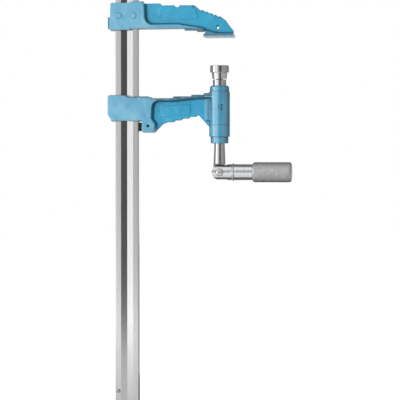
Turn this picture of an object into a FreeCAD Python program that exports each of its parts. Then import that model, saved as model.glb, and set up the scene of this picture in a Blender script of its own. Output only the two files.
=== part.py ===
import FreeCAD, Part
import math
import os
import re
import Sketcher
from FreeCAD import Placement, Rotation, Vector

# Quick release bar clamp, in millimetres and degrees.
# The origin is the middle of the fixed jaw's clamping face, on the spindle's axis.
# +X runs from the bar towards the jaw's tip, +Y away from the front, +Z up along the bar.
# A "reach" is a distance from the spindle's axis back towards the bar.
# A "drop" is a distance down from the top of the sliding arm's collar.

SIZES = {
    # Bar
    "bar_length": 600,
    "bar_width": 35,
    "bar_thickness": 11,
    "bar_corner": 1.2,
    "bar_overhang": 5.5,
    "groove_width": 18,
    "groove_depth": 2.2,
    "groove_root_radius": 1,
    # Layout at rest
    "throat": 120,
    "pad_gap": 41,
    "arm_drop": 83.5,
    # What both castings share
    "casting_depth": 24.5,
    "web_thickness": 9,
    "casting_corner": 3,
    "casting_draft": 6,
    "recess_draft": 20,
    "recess_spill": 12,
    "crest_depth": 16,
    "crest_root": 3,
    "crest_draft": 12,
    "panel_relief": 0.7,
    "panel_corner": 4,
    "bar_fit": 0.1,
    # Fixed jaw
    "jaw_back_wall": 9.1,
    "jaw_back_lean": 1.8,
    "jaw_collar_base": 10.9,
    "jaw_collar_height": 44,
    "jaw_collar_inner_rise": 2,
    "jaw_collar_inner_run": 1.5,
    "jaw_collar_inner_reach": 132.5,
    "jaw_collar_shoulder": 1.6,
    "jaw_collar_ear": 6.5,
    "jaw_collar_step": 3.5,
    "jaw_rib_width": 12,
    "jaw_rib_depth": 2.3,
    "jaw_rib_base": 3,
    "jaw_rib_height": 17.5,
    "jaw_flange_step": 2.5,
    "jaw_flange_step_reach": 52,
    "jaw_flange_toe_rise": 2,
    "jaw_foot_step": 1.9,
    "jaw_foot_reach": 33.5,
    "jaw_recess_reach": 112.2,
    "jaw_recess_lean": 2.4,
    "jaw_recess_radius": 12,
    "jaw_recess_bend_reach": 60,
    "jaw_recess_floor": 6,
    "jaw_recess_near_reach": 24,
    "jaw_recess_near_drop": 0.3,
    "jaw_recess_tip_reach": 18.5,
    "jaw_recess_tip_rise": 3.4,
    "jaw_crest_reach": 88.5,
    "jaw_crest_drop": 2.9,
    "jaw_crest_slope": 2.2,
    "jaw_dip_reach": 67.4,
    "jaw_dip_length": 8.6,
    "jaw_dip_depth": 2.8,
    "jaw_brow_reach": 37.2,
    "jaw_brow_drop": 3.3,
    "jaw_teeth_reach": 28.4,
    "jaw_teeth_drop": 10.6,
    "jaw_tooth_count": 5,
    "jaw_tooth_run": 6.4,
    "jaw_tooth_flat": 4.2,
    "jaw_tooth_fall": 2.4,
    "jaw_nose_front": 9.8,
    "jaw_nose_height": 25.1,
    "jaw_nose_waist": 13.6,
    "jaw_nose_waist_height": 18.9,
    "jaw_nose_step": 17.2,
    "jaw_nose_step_height": 14.4,
    "jaw_nose_foot": 10.3,
    "jaw_pad_back": 22.6,
    "jaw_pad_front": 22,
    "jaw_pad_depth": 26,
    "jaw_pad_thickness": 5,
    "jaw_pad_corner": 1,
    "jaw_tip_hole_radius": 2,
    "jaw_tip_hole_reach": 2.2,
    "jaw_tip_hole_height": 14.4,
    "jaw_panel_reach": 90,
    "jaw_panel_length": 60,
    "jaw_panel_low": 14.3,
    "jaw_panel_height": 17,
    "jaw_panel_slant": 6,
    # Rivets that hold the jaw on the bar
    "rivet_spacing": 21.6,
    "rivet_height": 33.2,
    "rivet_shank_radius": 3,
    "rivet_head_radius": 4.4,
    "rivet_head_height": 0.9,
    "rivet_fit": 0.05,
    # Pin that stops the arm at the bar's lower end
    "stop_pin_radius": 2.5,
    "stop_pin_wall": 0.8,
    "stop_pin_slit": 1,
    "stop_pin_stand": 4,
    "stop_pin_inset": 4.6,
    "stop_pin_from_end": 16.5,
    # Sliding arm
    "arm_back_wall": 11.7,
    "arm_collar_height": 39.7,
    "arm_back_chamfer": 5,
    "arm_top_slope_reach": 138.5,
    "arm_top_slope_length": 6,
    "arm_top_slope_drop": 2,
    "arm_neck_reach": 107,
    "arm_neck_length": 8,
    "arm_neck_drop": 4.7,
    "arm_heel_reach": 28,
    "arm_heel_rise": 3.4,
    "arm_crest_step_reach": 69,
    "arm_crest_step": 2.3,
    "arm_crest_step_length": 27,
    "arm_crest_last_length": 18.5,
    "arm_recess_reach": 99.2,
    "arm_recess_drop": 8.1,
    "arm_recess_radius": 11,
    "arm_recess_rise": 4,
    "arm_recess_waist_reach": 100.6,
    "arm_recess_waist_drop": 35.8,
    "arm_recess_lobe_reach": 95.3,
    "arm_recess_lobe_drop": 42.8,
    "arm_slot_fit": 0.3,
    "lug_front_reach": 96.2,
    "lug_back_gap": 4.6,
    "lug_length": 16.6,
    "lug_corner": 2.8,
    "web_low_reach": 76,
    "web_low_drop": 40.9,
    "web_slope_run": 7.8,
    "scallop_count": 4,
    "scallop_run": 11.2,
    "scallop_flat": 7.6,
    "scallop_rise": 2.6,
    "gusset_foot_drop": 53.6,
    "arm_panel_reach": 86,
    "arm_panel_length": 43,
    "arm_panel_drop": 17.5,
    "arm_panel_height": 15,
    "arm_panel_taper": 3,
    # Boss of the sliding arm
    "boss_radius": 15.3,
    "boss_rise": 4.1,
    "boss_height": 66.3,
    "boss_blend_reach": 7.9,
    "boss_blend_drop": 42.5,
    "boss_blend_depth": 13.4,
    "boss_blend_height": 35.5,
    "boss_blend_lip": 2.4,
    "boss_blend_root": 1,
    "boss_line_drop": 48.9,
    "boss_line_depth": 0.4,
    "nut_fit": 0.05,
    # Spindle nut: a sleeve with a flange, locked by a radial screw
    "nut_radius": 13.2,
    "nut_flange_radius": 14.2,
    "nut_flange_height": 8.6,
    "nut_flange_chamfer": 2,
    "nut_foot_length": 9.8,
    "nut_foot_chamfer": 0.8,
    "nut_relief_top": 24,
    "nut_relief_bottom": 24,
    "lock_screw_radius": 4.3,
    "lock_screw_length": 3.2,
    "lock_screw_recess": 0.9,
    "lock_screw_drop": 22.8,
    "lock_screw_angle": 18,
    "lock_screw_slot_width": 1.4,
    "lock_screw_slot_depth": 1,
    # Brake shoe, its pin and its spring
    "shoe_gap": 0.3,
    "shoe_width": 10,
    "shoe_height": 12.6,
    "shoe_length": 17.2,
    "shoe_top_gap": 1.4,
    "shoe_fit": 0.3,
    "shoe_travel": 0.8,
    "shoe_tooth_count": 6,
    "shoe_tooth_depth": 0.5,
    "brake_pin_radius": 1.95,
    "brake_pin_reach": 104.7,
    "brake_pin_drop": 46.3,
    "brake_pin_recess": 1,
    "brake_pin_fit": 0.05,
    "brake_spring_radius": 2.5,
    "brake_spring_wire": 0.4,
    "brake_spring_length": 7,
    "brake_spring_turns": 4,
    "brake_spring_fit": 0.3,
    # Spindle
    "screw_radius": 10,
    "screw_core_radius": 7.8,
    "screw_pitch": 4,
    "screw_thread_start": 4.6,
    "screw_thread_length": 56,
    "screw_flank_angle": 15,
    "screw_flank_fit": 0.3,
    "screw_crest_fit": 0.3,
    "screw_cone_start": 78,
    "screw_knuckle_radius": 8.8,
    "ball_radius": 6.2,
    "ball_crown_radius": 5.7,
    "ball_neck_radius": 4.2,
    "ball_fit": 0.3,
    "ball_depth": 11,
    "tang_thickness": 9,
    "tang_radius": 9.5,
    "knuckle_gap": 0.6,
    # Pressure pad and the ring that keeps it on the ball
    "pad_radius": 14,
    "pad_thickness": 10.6,
    "pad_edge": 0.9,
    "pad_hub_radius": 11.7,
    "pad_hub_length": 9.4,
    "pad_hub_end_radius": 10.6,
    "pad_hub_gap": 0.9,
    "ring_wire": 0.9,
    "ring_radius": 6.3,
    "ring_drop": 4.3,
    "ring_fit": 0.6,
    "ring_arc": 330,
    # Folding handle
    "pivot_drop": 156.9,
    "pivot_offset": 1.5,
    "handle_radius": 11.8,
    "fork_length": 17.6,
    "fork_slot_depth": 10.4,
    "handle_ring_radius": 13.1,
    "handle_ring_width": 3.4,
    "handle_spigot_radius": 6.5,
    "handle_spigot_length": 7,
    "handle_fit": 0.05,
    "grip_reach": 47.6,
    "grip_length": 57.4,
    "grip_radius": 14.9,
    "grip_edge": 3,
    "grip_core_radius": 9,
    "grip_end_wall": 6,
    "pivot_radius": 4,
    "pivot_fit": 0.08,
    "pivot_head_radius": 5.6,
    "pivot_head_height": 2.6,
    "pivot_seat_depth": 1.4,
    "washer_radius": 8.4,
    "washer_thickness": 0.5,
    "washer_fit": 0.05,
    "detent_ball_radius": 2.5,
    "detent_gap": 0.15,
    "detent_bore_fit": 0.1,
    "detent_notch_radius": 3.2,
    "detent_spring_length": 11,
    "detent_spring_turns": 5,
    "detent_spring_wire": 0.35,
}

PLACES = {
    "bar_right": "-throat",
    "bar_left": "-throat - bar_width",
    "bar_middle": "-throat - bar_width / 2",
    "jaw_top": "jaw_collar_base + jaw_collar_height",
    "jaw_arm_top": "jaw_top - jaw_collar_step",
    "jaw_back": "bar_left - jaw_back_wall",
    "bar_top": "jaw_top + bar_overhang",
    "bar_bottom": "bar_top - bar_length",
    "jaw_flange_base": "jaw_collar_base + jaw_collar_inner_rise",
    "jaw_toe": "jaw_flange_base - jaw_flange_toe_rise",
    "jaw_crest_top": "jaw_arm_top - jaw_crest_drop",
    "jaw_dip": "jaw_crest_top - jaw_dip_depth",
    "jaw_dip_end": "-jaw_dip_reach + jaw_dip_length",
    "jaw_recess_low": "jaw_flange_base + jaw_recess_floor",
    "arm_top": "-arm_drop",
    "arm_base": "arm_top - arm_collar_height",
    "arm_back": "bar_left - arm_back_wall",
    "arm_neck": "arm_top - arm_neck_drop",
    "arm_heel": "arm_neck + arm_heel_rise",
    "lug_back": "bar_right + lug_back_gap",
    "lug_base": "arm_base - lug_length",
    "web_low": "arm_top - web_low_drop",
    "boss_top": "arm_top + boss_rise",
    "boss_base": "boss_top - boss_height",
    "nut_top": "boss_top + nut_flange_height",
    "nut_base": "boss_base - nut_foot_length",
    "nut_bore_top": "nut_top - nut_relief_top",
    "nut_bore_base": "nut_base + nut_relief_bottom",
    "shoe_left": "bar_right + shoe_gap",
    "shoe_right": "shoe_left + shoe_length",
    "shoe_top": "arm_base - shoe_top_gap",
    "shoe_middle": "shoe_top - shoe_height / 2",
    "brake_pin_height": "arm_top - brake_pin_drop",
    "brake_slot_right": "shoe_right + shoe_travel + shoe_fit",
    "brake_spring_left": "shoe_right + brake_pin_fit",
    "pad_face": "-pad_gap",
    "pad_back": "pad_face - pad_thickness",
    "hub_base": "pad_back - pad_hub_length",
    "ball_middle": "pad_face - ball_depth",
    "screw_top": "hub_base - pad_hub_gap",
    "pivot_height": "-pad_gap - pivot_drop",
    "knuckle_base": "pivot_height + handle_radius + knuckle_gap",
    "thread_top": "boss_top - screw_thread_start",
    "thread_base": "thread_top - screw_thread_length",
    "cone_top": "boss_top - screw_cone_start",
    "handle_shoulder": "fork_length + handle_ring_width",
    "slot_half": "tang_thickness / 2 + washer_thickness + washer_fit",
    "seat_half": "handle_radius - pivot_seat_depth",
    "ball_reach": "tang_radius + detent_gap + detent_ball_radius",
    "detent_coil_radius": "detent_ball_radius - 2 * detent_spring_wire",
    "detent_contact": "detent_ball_radius + detent_spring_wire",
    "detent_spring_left": "ball_reach + sqrt(detent_contact ^ 2 - detent_coil_radius ^ 2) - detent_spring_wire",
}

doc = FreeCAD.newDocument("QuickReleaseBarClamp")


def linked(text):
    """The expression with each named value written as a reference to its sheet."""
    def reference(match):
        name = match.group(0)
        if name in SIZES:
            return "Sizes." + name
        return "Places." + name if name in PLACES else name
    return re.sub(r"[a-z][a-z_]*", reference, str(text))


def fill_sheet(name, cells):
    sheet = doc.addObject("Spreadsheet::Sheet", name)
    for row, (alias, content) in enumerate(cells.items(), start=1):
        sheet.set(f"A{row}", alias.replace("_", " "))
        sheet.set(f"B{row}", content)
        sheet.setAlias(f"B{row}", alias)
    return sheet


sizes = fill_sheet("Sizes", {name: str(number) for name, number in SIZES.items()})
doc.recompute()
places = fill_sheet("Places", {})
for number, (place_name, formula) in enumerate(PLACES.items(), start=1):
    places.set(f"A{number}", place_name.replace("_", " "))
    places.setAlias(f"B{number}", place_name)
    local = re.sub(r"Places\.", "", linked(formula))
    places.set(f"B{number}", "=" + local)
doc.recompute()


def value(text):
    """The number that an expression in named values gives."""
    return float(sizes.evalExpression(linked(text)))


def bind(thing, path, text):
    thing.setExpression(path, linked(text))


def new_body(label, x="0", y="0", z="0", turn=None):
    """An empty body, placed by expressions and turned by (axis, angle)."""
    body = doc.addObject("PartDesign::Body", label)
    body.Label = label
    if turn:
        body.Placement = Placement(Vector(), Rotation(*turn))
    for axis, text in zip("xyz", (x, y, z)):
        bind(body, f"Placement.Base.{axis}", text)
    return body


def origin_part(body, role):
    return next(part for part in body.Origin.OriginFeatures if part.Role == role)


def new_sketch(body, name, plane, offset="0"):
    """An empty sketch on one of the body's origin planes, or on one parallel to it."""
    sketch = body.newObject("Sketcher::SketchObject", f"{body.Label}_{name}")
    sketch.AttachmentSupport = (origin_part(body, plane), [""])
    sketch.MapMode = "FlatFace"
    bind(sketch, "AttachmentOffset.Base.z", offset)
    return sketch


def fix_point(sketch, geometry, end, x, y):
    """Holds one point of the sketch at the place that two expressions give."""
    for kind, text in (("DistanceX", x), ("DistanceY", y)):
        index = sketch.addConstraint(Sketcher.Constraint(kind, -1, 1, geometry, end, value(text)))
        sketch.setExpression(f"Constraints[{index}]", linked(text))


def add_circle(sketch, x, y, radius):
    shape = Part.Circle(Vector(value(x), value(y), 0), Vector(0, 0, 1), value(radius))
    circle = sketch.addGeometry(shape, False)
    fix_point(sketch, circle, 3, x, y)
    index = sketch.addConstraint(Sketcher.Constraint("Radius", circle, value(radius)))
    sketch.setExpression(f"Constraints[{index}]", linked(radius))


def add_outline(sketch, corners):
    """A closed outline through corners (x, y) or, where one is rounded, (x, y, radius)."""
    points = [Vector(value(corner[0]), value(corner[1]), 0) for corner in corners]
    total = len(points)
    trims = []
    for i, corner in enumerate(corners):
        if len(corner) == 2:
            trims.append((points[i], points[i], None))
            continue
        before = (points[i - 1] - points[i]).normalize()
        after = (points[(i + 1) % total] - points[i]).normalize()
        half_turn = before.getAngle(after) / 2
        radius = value(corner[2])
        cut = radius / math.tan(half_turn)
        middle = points[i] + (before + after).normalize() * (radius / math.sin(half_turn))
        trims.append((points[i] + before * cut, points[i] + after * cut, middle))
    lines = []
    for i in range(total):
        start = trims[i][1]
        end = trims[(i + 1) % total][0]
        lines.append(sketch.addGeometry(Part.LineSegment(start, end), False))
    for i, corner in enumerate(corners):
        incoming = lines[i - 1]
        outgoing = lines[i]
        if trims[i][2] is None:
            sketch.addConstraint(Sketcher.Constraint("Coincident", incoming, 2, outgoing, 1))
            fix_point(sketch, outgoing, 1, corner[0], corner[1])
            continue
        add_corner_arc(sketch, points[i], trims[i], corner, incoming, outgoing)


def add_corner_arc(sketch, point, trim, corner, incoming, outgoing):
    """Rounds one corner between two lines, and holds the corner point itself in place."""
    first, last, middle = trim
    radius = value(corner[2])
    left_turn = (point - first).cross(last - point).z > 0
    start, end = (first, last) if left_turn else (last, first)
    angles = [math.atan2(p.y - middle.y, p.x - middle.x) for p in (start, end)]
    circle = Part.Circle(middle, Vector(0, 0, 1), radius)
    arc = sketch.addGeometry(Part.ArcOfCircle(circle, angles[0], angles[1]), False)
    mark = sketch.addGeometry(Part.Point(point), True)
    into, out = (1, 2) if left_turn else (2, 1)
    sketch.addConstraint(Sketcher.Constraint("Tangent", incoming, 2, arc, into))
    sketch.addConstraint(Sketcher.Constraint("Tangent", arc, out, outgoing, 1))
    index = sketch.addConstraint(Sketcher.Constraint("Radius", arc, radius))
    sketch.setExpression(f"Constraints[{index}]", linked(corner[2]))
    sketch.addConstraint(Sketcher.Constraint("PointOnObject", mark, 1, incoming))
    sketch.addConstraint(Sketcher.Constraint("PointOnObject", mark, 1, outgoing))
    fix_point(sketch, mark, 1, corner[0], corner[1])


def box_corners(left, right, low, high):
    return [(left, low), (right, low), (right, high), (left, high)]


def round_box(left, right, low, high, radius):
    return [corner + (radius,) for corner in box_corners(left, right, low, high)]


def finish_feature(body, feature, grows):
    """Recomputes, and makes sure that the feature added or removed material."""
    before = 0 if feature.BaseFeature is None else feature.BaseFeature.Shape.Volume
    doc.recompute()
    change = feature.Shape.Volume - before
    if (change > 0) != grows or abs(change) < 1e-6:
        raise RuntimeError(f"{feature.Name} changed the volume by {change:.4f}")
    return feature


def extrude(body, sketch, length, cut=False, both_ways=False, reverse=False, draft=None):
    kind = "PartDesign::Pocket" if cut else "PartDesign::Pad"
    feature = body.newObject(kind, sketch.Name + ("_cut" if cut else "_pad"))
    feature.Profile = (sketch, [""])
    feature.SideType = "Symmetric" if both_ways else "One side"
    feature.Reversed = reverse
    if length == "through":
        feature.Type = "ThroughAll"
    else:
        bind(feature, "Length", length)
    if draft:
        bind(feature, "TaperAngle", f"-{draft}")
    return finish_feature(body, feature, not cut)


def slab(body, name, corners, thickness, draft=None):
    """A plate in the XZ plane, half of its thickness on each side, widest in the middle if drafted."""
    sketch = new_sketch(body, name, "XZ_Plane")
    add_outline(sketch, corners)
    return extrude(body, sketch, thickness, both_ways=True, draft=draft)


def casting_recesses(body, corners):
    """The same recess in the front and in the back of a casting, down to its web."""
    depth = "(casting_depth - web_thickness) / 2"
    for name, face, reverse in (("front_recess", "casting_depth / 2", False),
                                ("back_recess", "-casting_depth / 2", True)):
        sketch = new_sketch(body, name, "XZ_Plane", face)
        add_outline(sketch, corners)
        extrude(body, sketch, depth, cut=True, reverse=reverse, draft="recess_draft")


def cross_holes(body, name, holes):
    """Round holes (x, z, radius) right through along Y."""
    sketch = new_sketch(body, name, "XZ_Plane")
    for x, z, radius in holes:
        add_circle(sketch, x, z, radius)
    return extrude(body, sketch, "through", cut=True, both_ways=True)


def turned(body, name, corners, cut=False, angle="360", axis="Z_Axis", plane="XZ_Plane"):
    """A solid turned from a half section of (radius, height) corners."""
    sketch = new_sketch(body, name, plane)
    add_outline(sketch, corners)
    return revolve(body, sketch, cut, angle, axis)


def revolve(body, sketch, cut=False, angle="360", axis="Z_Axis"):
    kind = "PartDesign::Groove" if cut else "PartDesign::Revolution"
    feature = body.newObject(kind, sketch.Name + "_turn")
    feature.Profile = (sketch, [""])
    feature.ReferenceAxis = (origin_part(body, axis), [""])
    bind(feature, "Angle", angle)
    return finish_feature(body, feature, not cut)


def coil(body, sketch, pitch, height, cut=False):
    """Winds a profile in the XZ plane into a right-handed helix about Z."""
    kind = "PartDesign::SubtractiveHelix" if cut else "PartDesign::AdditiveHelix"
    feature = body.newObject(kind, sketch.Name + "_coil")
    feature.Profile = (sketch, [""])
    feature.ReferenceAxis = (origin_part(body, "Z_Axis"), [""])
    feature.Mode = "pitch-height-angle"
    bind(feature, "Pitch", pitch)
    bind(feature, "Height", height)
    return finish_feature(body, feature, not cut)


ABOUT_X = (Vector(1, 0, 0), 90)
ABOUT_Y = (Vector(0, 1, 0), 90)


def make_bar():
    """Profiled flat bar with a shallow V groove down each wide face."""
    body = new_body("bar", x="bar_middle", z="bar_bottom")
    half_width = "bar_width / 2"
    half_thickness = "bar_thickness / 2"
    half_groove = "groove_width / 2"
    floor = "bar_thickness / 2 - groove_depth"
    section = new_sketch(body, "section", "XY_Plane")
    add_outline(section, [
        (f"-{half_width}", f"-{half_thickness}", "bar_corner"),
        (f"-{half_groove}", f"-{half_thickness}"),
        ("0", f"-({floor})", "groove_root_radius"),
        (half_groove, f"-{half_thickness}"),
        (half_width, f"-{half_thickness}", "bar_corner"),
        (half_width, half_thickness, "bar_corner"),
        (half_groove, half_thickness),
        ("0", floor, "groove_root_radius"),
        (f"-{half_groove}", half_thickness),
        (f"-{half_width}", half_thickness, "bar_corner"),
    ])
    extrude(body, section, "bar_length")
    rivet_hole = "rivet_shank_radius + rivet_fit"
    rivet_level = "rivet_height - bar_bottom"
    cross_holes(body, "holes", [
        ("-rivet_spacing / 2", rivet_level, rivet_hole),
        ("rivet_spacing / 2", rivet_level, rivet_hole),
        ("stop_pin_inset - bar_width / 2", "stop_pin_from_end", "stop_pin_radius"),
    ])


def cut_bar_slot(body, side_fit, face_fit):
    """The slot that the bar passes through."""
    slot = new_sketch(body, "bar_slot", "XY_Plane")
    half = f"(bar_thickness / 2 + {face_fit})"
    add_outline(slot, box_corners(f"bar_left - {side_fit}", f"bar_right + {side_fit}", f"-{half}", half))
    extrude(body, slot, "through", cut=True, both_ways=True)


def jaw_teeth():
    """The stepped slope along the top of the jaw's tip."""
    corners = []
    for tooth in range(int(value("jaw_tooth_count"))):
        back = f"-jaw_teeth_reach + {tooth} * jaw_tooth_run"
        level = f"jaw_arm_top - jaw_teeth_drop - {tooth} * jaw_tooth_fall"
        corners.append((back, level))
        corners.append((f"{back} + jaw_tooth_flat", level))
    return corners


def make_fixed_jaw():
    """Casting with a collar round the bar, a flanged arm and the clamping face."""
    body = new_body("fixed_jaw")
    pad_side = "-jaw_pad_back + jaw_pad_corner"
    nose_side = "jaw_pad_front - jaw_pad_corner"
    ear = "bar_right + jaw_collar_ear"
    slab(body, "frame", [
        ("jaw_back", "jaw_collar_base", "casting_corner"),
        ("-jaw_collar_inner_reach", "jaw_collar_base"),
        ("-jaw_collar_inner_reach + jaw_collar_inner_run", "jaw_flange_base"),
        ("-jaw_flange_step_reach", "jaw_flange_base"),
        (pad_side, "jaw_toe"),
        (pad_side, "jaw_pad_thickness / 2"),
        (nose_side, "jaw_pad_thickness / 2"),
        (nose_side, "jaw_nose_foot"),
        ("jaw_nose_step", "jaw_nose_step_height"),
        ("jaw_nose_waist", "jaw_nose_waist_height"),
        ("jaw_nose_front", "jaw_nose_height"),
    ] + jaw_teeth()[::-1] + [
        ("-jaw_brow_reach", "jaw_arm_top - jaw_brow_drop"),
        ("jaw_dip_end", "jaw_crest_top"),
        ("jaw_dip_end - jaw_crest_slope", "jaw_dip"),
        ("-jaw_dip_reach + jaw_crest_slope", "jaw_dip"),
        ("-jaw_dip_reach", "jaw_crest_top"),
        ("-jaw_crest_reach + jaw_crest_slope", "jaw_crest_top"),
        ("-jaw_crest_reach", "jaw_arm_top"),
        (f"{ear} + jaw_collar_step / 2", "jaw_arm_top"),
        (ear, "jaw_top"),
        ("-jaw_collar_inner_reach", "jaw_top"),
        ("-jaw_collar_inner_reach - jaw_collar_shoulder", "jaw_top - jaw_collar_shoulder"),
        ("jaw_back + jaw_back_lean", "jaw_top - jaw_collar_shoulder", "casting_corner"),
    ], "casting_depth", "casting_draft")
    casting_recesses(body, [
        ("-jaw_recess_reach", "jaw_top + recess_spill"),
        ("-jaw_recess_reach + jaw_recess_lean", "jaw_recess_low", "jaw_recess_radius"),
        ("-jaw_recess_bend_reach", "jaw_recess_low"),
        ("-jaw_recess_near_reach", "jaw_flange_base - jaw_recess_near_drop"),
        ("-jaw_recess_tip_reach", "jaw_pad_thickness + jaw_recess_tip_rise"),
        ("0", "jaw_pad_thickness"),
        ("jaw_pad_front + recess_spill", "jaw_pad_thickness"),
        ("jaw_pad_front + recess_spill", "jaw_top + recess_spill"),
    ])
    foot = "jaw_flange_base - jaw_flange_step - jaw_foot_step"
    crest_end = "-jaw_pad_back + 2 * jaw_pad_corner"
    slab(body, "crest", [
        ("-jaw_flange_step_reach", "jaw_flange_base + crest_root / 2"),
        ("-jaw_flange_step_reach", "jaw_flange_base - jaw_flange_step"),
        ("-jaw_foot_reach", "jaw_flange_base - jaw_flange_step"),
        ("-jaw_foot_reach", foot),
        (crest_end, foot),
        (crest_end, "jaw_flange_base + crest_root / 2"),
    ], "crest_depth", "crest_draft")
    slab(body, "clamping_block", round_box(
        "-jaw_pad_back", "jaw_pad_front", "0", "jaw_pad_thickness", "jaw_pad_corner"), "jaw_pad_depth")
    slab(body, "back_rib", round_box(
        "jaw_back - jaw_rib_depth", "jaw_back + casting_corner", "jaw_collar_base + jaw_rib_base",
        "jaw_collar_base + jaw_rib_base + jaw_rib_height", "jaw_rib_depth / 3"), "jaw_rib_width")
    low = "jaw_flange_base + jaw_panel_low"
    slab(body, "panel", [
        ("-jaw_panel_reach", low + " + jaw_panel_height / 3", "panel_corner / 2"),
        ("-jaw_panel_reach + jaw_panel_length / 2", low, "panel_corner"),
        ("-jaw_panel_reach + jaw_panel_length", low, "panel_corner"),
        ("-jaw_panel_reach + jaw_panel_length - jaw_panel_slant", low + " + jaw_panel_height", "panel_corner"),
        ("-jaw_panel_reach", low + " + jaw_panel_height", "panel_corner"),
    ], "web_thickness + 2 * panel_relief")
    cut_bar_slot(body, "bar_fit", "bar_fit")
    rivet_hole = "rivet_shank_radius + rivet_fit"
    cross_holes(body, "holes", [
        ("bar_middle - rivet_spacing / 2", "rivet_height", rivet_hole),
        ("bar_middle + rivet_spacing / 2", "rivet_height", rivet_hole),
        ("-jaw_tip_hole_reach", "jaw_tip_hole_height", "jaw_tip_hole_radius"),
    ])


def make_rivet(label, side):
    """Rivet through the collar and the bar, its domed heads on the casting's faces."""
    body = new_body(label, x=f"bar_middle + {side} * rivet_spacing / 2", z="rivet_height", turn=ABOUT_X)
    seat = "casting_depth / 2"
    crown = "casting_depth / 2 + rivet_head_height"
    turned(body, "section", [
        ("0", f"-({crown})"),
        ("rivet_head_radius", f"-({crown})", "rivet_head_height * 0.9"),
        ("rivet_head_radius", f"-{seat}"),
        ("rivet_shank_radius", f"-{seat}"),
        ("rivet_shank_radius", seat),
        ("rivet_head_radius", seat),
        ("rivet_head_radius", crown, "rivet_head_height * 0.9"),
        ("0", crown),
    ])


def make_end_stop_pin():
    """Slit roll pin that stands out of both faces near the bar's lower end."""
    body = new_body("end_stop_pin", x="bar_left + stop_pin_inset",
                    z="bar_bottom + stop_pin_from_end", turn=ABOUT_X)
    section = new_sketch(body, "section", "XY_Plane")
    add_circle(section, "0", "0", "stop_pin_radius")
    add_circle(section, "0", "0", "stop_pin_radius - stop_pin_wall")
    extrude(body, section, "bar_thickness + 2 * stop_pin_stand", both_ways=True)
    slit = new_sketch(body, "slit", "XY_Plane")
    add_outline(slit, box_corners("0", "2 * stop_pin_radius", "-stop_pin_slit / 2", "stop_pin_slit / 2"))
    extrude(body, slit, "through", cut=True, both_ways=True)


def arm_scallops():
    """The stepped lower edge of the arm's web, from the lug to the gusset."""
    corners = []
    for step in range(int(value("scallop_count"))):
        back = f"-web_low_reach + {step} * scallop_run"
        level = f"web_low + {step} * scallop_rise"
        corners.append((back, level))
        corners.append((f"{back} + scallop_flat", level))
    last = int(value("scallop_count"))
    corners.append((f"-web_low_reach + {last} * scallop_run", f"web_low + {last} * scallop_rise"))
    return corners


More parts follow.
